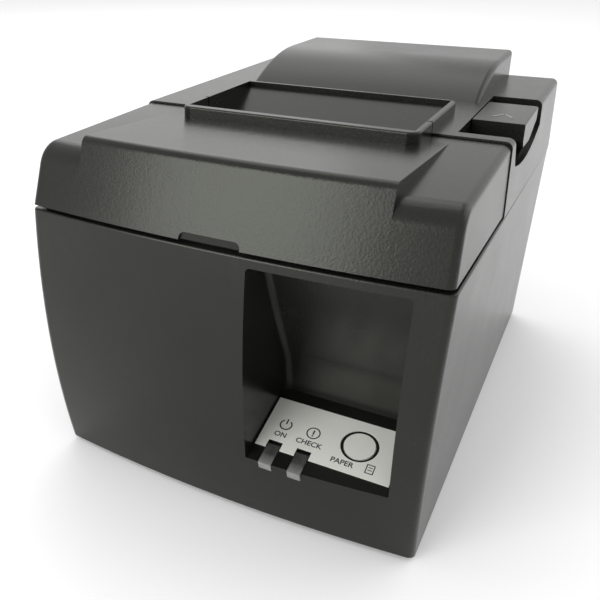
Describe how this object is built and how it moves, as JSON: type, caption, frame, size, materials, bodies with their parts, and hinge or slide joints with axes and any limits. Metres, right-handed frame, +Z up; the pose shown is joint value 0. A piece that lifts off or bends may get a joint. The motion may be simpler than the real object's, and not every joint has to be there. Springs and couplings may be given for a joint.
{
  "type": "receipt printer",
  "caption": "Desktop receipt printer with a hinged clamshell case, opening lever, front control alcove, paper trough, print head and paper cutter.",
  "frame": {"origin": "under the middle of the case, on the surface that the feet stand on", "axes": "+X to the right seen from the front, +Y to the rear, +Z up"},
  "size_m": [0.1418, 0.204, 0.132],
  "materials": {
    "case_plastic": "fine-grained charcoal moulding",
    "inner_plastic": "plain dark moulding",
    "label": "silver printed sheet",
    "light_guide": "smoky clear moulding",
    "steel": "bare steel",
    "sheet": "zinc-plated sheet",
    "sink": "extruded plate",
    "ceramic": "glazed strip",
    "rubber": "soft rubber",
    "gear": "natural gear plastic",
    "board": "green circuit board",
    "brass": "turned brass"
  },
  "bodies": {
    "case": {"lower_case": "case_plastic", "base_plate": "sheet", "rubber_feet": "rubber", "base_screws": "steel", "main_frame": "sheet", "feed_motor": "sheet", "idler_stud": "steel", "head_shaft": "steel", "head_springs": "inner_plastic", "cutter_frame": "sheet", "cutter_motor": "sheet", "paper_bucket": "inner_plastic", "paper_sensor": "inner_plastic", "main_board": "board", "board_standoffs": "brass", "usb_socket": "steel", "drawer_jack": "inner_plastic", "power_supply": "sheet", "power_inlet": "inner_plastic", "cover_switch": "inner_plastic", "power_switch": "inner_plastic", "panel_label": "label", "power_light_guide": "light_guide", "error_light_guide": "light_guide", "panel_board": "board", "latch_stud": "steel", "hinge_pins": "steel"},
    "rear_cover": {"rear_cover": "case_plastic", "platen_frame": "inner_plastic", "platen_bushes": "gear", "fixed_blade": "steel", "lever_shaft": "steel", "lever_spring": "steel"},
    "front_cover": {"front_cover": "case_plastic"},
    "lever": {"lever": "case_plastic"},
    "feed_button": {"feed_button": "label"},
    "power_rocker": {"power_rocker": "inner_plastic"},
    "platen": {"platen_shaft": "steel", "platen_rubber": "rubber", "platen_gear": "gear"},
    "idler": {"idler_gear": "gear"},
    "pinion": {"motor_pinion": "gear"},
    "blade": {"cutter_blade": "steel"},
    "cutter_gear": {"cutter_gear": "gear"},
    "head": {"print_head": "ceramic", "head_sink": "sink"}
  },
  "joints": [
    {"name": "rear_cover_hinge", "type": "hinge", "parent": "case", "child": "rear_cover", "pos_m": [0, 0.099, 0.093], "axis": [-1, 0, 0], "range_deg": [0, 80]},
    {"name": "lever_pivot", "type": "hinge", "parent": "rear_cover", "child": "lever", "pos_m": [0.06, 0.016, 0.088], "axis": [-1, 0, 0], "range_deg": [0, 12], "stiffness_Nm_per_rad": 0.15, "springref_deg": -8.59},
    {"name": "front_cover_slide", "type": "slide", "parent": "case", "child": "front_cover", "axis": [0, -0.9988, 0.0485], "range_m": [0, 0.03]},
    {"name": "feed_button_press", "type": "slide", "parent": "case", "child": "feed_button", "axis": [0, 0.2756, -0.9613], "range_m": [0, 0.0006], "stiffness_N_per_m": 800, "springref_m": -0.0006},
    {"name": "power_rocker_tilt", "type": "hinge", "parent": "case", "child": "power_rocker", "pos_m": [-0.0658, -0.0645, 0.028], "axis": [0, 0, -1], "range_deg": [0, 12]},
    {"name": "platen_spin", "type": "hinge", "parent": "rear_cover", "child": "platen", "pos_m": [0, -0.02, 0.094], "axis": [1, 0, 0], "continuous": true},
    {"name": "idler_spin", "type": "hinge", "parent": "case", "child": "idler", "pos_m": [-0.052, -0.022, 0.07571], "axis": [1, 0, 0], "continuous": true},
    {"name": "pinion_spin", "type": "hinge", "parent": "case", "child": "pinion", "pos_m": [-0.052, -0.03177, 0.06406], "axis": [1, 0, 0], "continuous": true},
    {"name": "blade_slide", "type": "slide", "parent": "case", "child": "blade", "axis": [0, 1, 0], "range_m": [0, 0.008]},
    {"name": "cutter_gear_turn", "type": "hinge", "parent": "case", "child": "cutter_gear", "pos_m": [0, -0.052, 0.105], "axis": [0, 0, 1], "range_deg": [0, 60]},
    {"name": "head_tilt", "type": "hinge", "parent": "case", "child": "head", "pos_m": [0, -0.036, 0.081], "axis": [1, 0, 0], "range_deg": [0, 2.5], "stiffness_Nm_per_rad": 2, "springref_deg": -5.73}
  ],
  "couplings": [
    {"joint": "idler_spin", "follows": "platen_spin", "ratio": -0.76923},
    {"joint": "pinion_spin", "follows": "platen_spin", "ratio": 1.6667},
    {"joint": "cutter_gear_turn", "follows": "blade_slide", "rad_per_m": 125}
  ]
}
